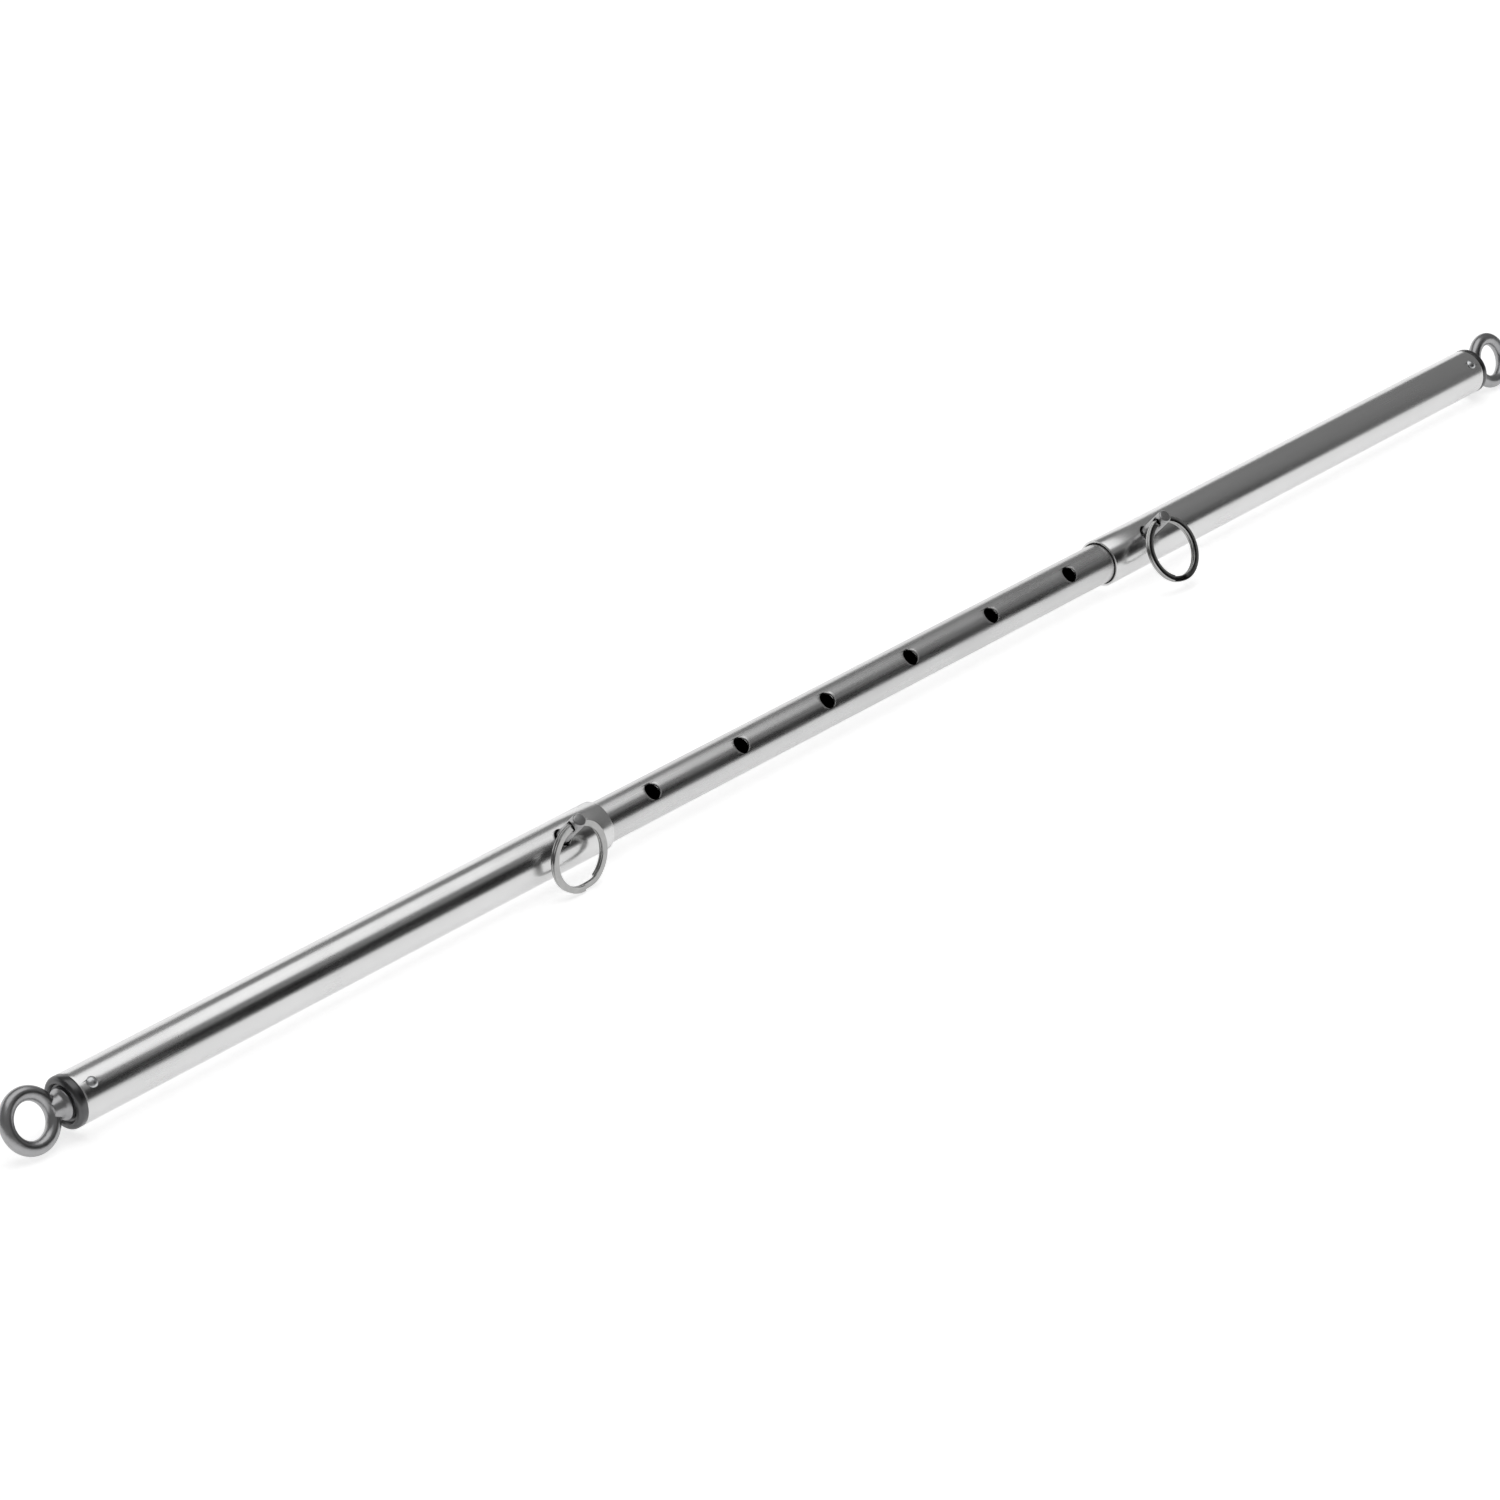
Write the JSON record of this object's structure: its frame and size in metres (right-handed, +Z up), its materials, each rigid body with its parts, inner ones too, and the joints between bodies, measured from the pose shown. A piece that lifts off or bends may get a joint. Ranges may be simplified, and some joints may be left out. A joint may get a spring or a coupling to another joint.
{
  "type": "telescopic spreader bar",
  "caption": "Telescopic tubular spreader bar: an inner tube with a row of holes between two sliding outer tubes, each with a ring-pull locking pin and an eye bolt at its end.",
  "frame": {"origin": "on the bar's axis, midway between the two eyes", "axes": "+X along the bar from the left end to the right end, +Z up, -Y to the front, where the locking pins stand at 50 degrees above the horizontal"},
  "size_m": [0.9916, 0.0425, 0.0349],
  "materials": {
    "chromed_steel": "polished chrome plate",
    "inner_steel": "polished chrome plate, slightly worn by sliding",
    "forged_steel": "forged, plated and tumbled",
    "plug_steel": "turned, dark oiled",
    "pin_steel": "ground bar",
    "ring_steel": "bright nickel plate",
    "zinc_steel": "bright zinc plate",
    "nylon": "moulded black nylon"
  },
  "bodies": {
    "inner_bar": {"inner_tube": "inner_steel", "inner_tube_left_cap": "nylon", "inner_tube_right_cap": "nylon"},
    "left_end": {"left_outer_tube": "chromed_steel", "left_end_plug": "plug_steel", "left_plug_rivet_front": "zinc_steel", "left_plug_rivet_back": "zinc_steel", "left_eye_bolt": "forged_steel", "left_eye_washer": "zinc_steel", "left_lock_nut": "zinc_steel"},
    "left_pin": {"left_locking_pin": "pin_steel"},
    "left_ring": {"left_pin_ring": "ring_steel"},
    "right_end": {"right_outer_tube": "chromed_steel", "right_end_plug": "plug_steel", "right_plug_rivet_front": "zinc_steel", "right_plug_rivet_back": "zinc_steel", "right_eye_bolt": "forged_steel", "right_eye_washer": "zinc_steel", "right_lock_nut": "zinc_steel"},
    "right_pin": {"right_locking_pin": "pin_steel"},
    "right_ring": {"right_pin_ring": "ring_steel"}
  },
  "joints": [
    {"name": "left_tube_slide", "type": "slide", "parent": "inner_bar", "child": "left_end", "axis": [1, 0, 0], "range_m": [0, 0.168]},
    {"name": "left_pin_pull", "type": "slide", "parent": "left_end", "child": "left_pin", "axis": [0, -0.6428, 0.766], "range_m": [0, 0.06]},
    {"name": "left_ring_swing", "type": "hinge", "parent": "left_pin", "child": "left_ring", "pos_m": [-0.196, -0.01414, 0.01685], "axis": [1, 0, 0], "range_deg": [-273, 11]},
    {"name": "right_tube_slide", "type": "slide", "parent": "inner_bar", "child": "right_end", "axis": [-1, 0, 0], "range_m": [0, 0.168]},
    {"name": "right_pin_pull", "type": "slide", "parent": "right_end", "child": "right_pin", "axis": [0, -0.6428, 0.766], "range_m": [0, 0.06]},
    {"name": "right_ring_swing", "type": "hinge", "parent": "right_pin", "child": "right_ring", "pos_m": [0.196, -0.01414, 0.01685], "axis": [1, 0, 0], "range_deg": [-249, 35]}
  ]
}
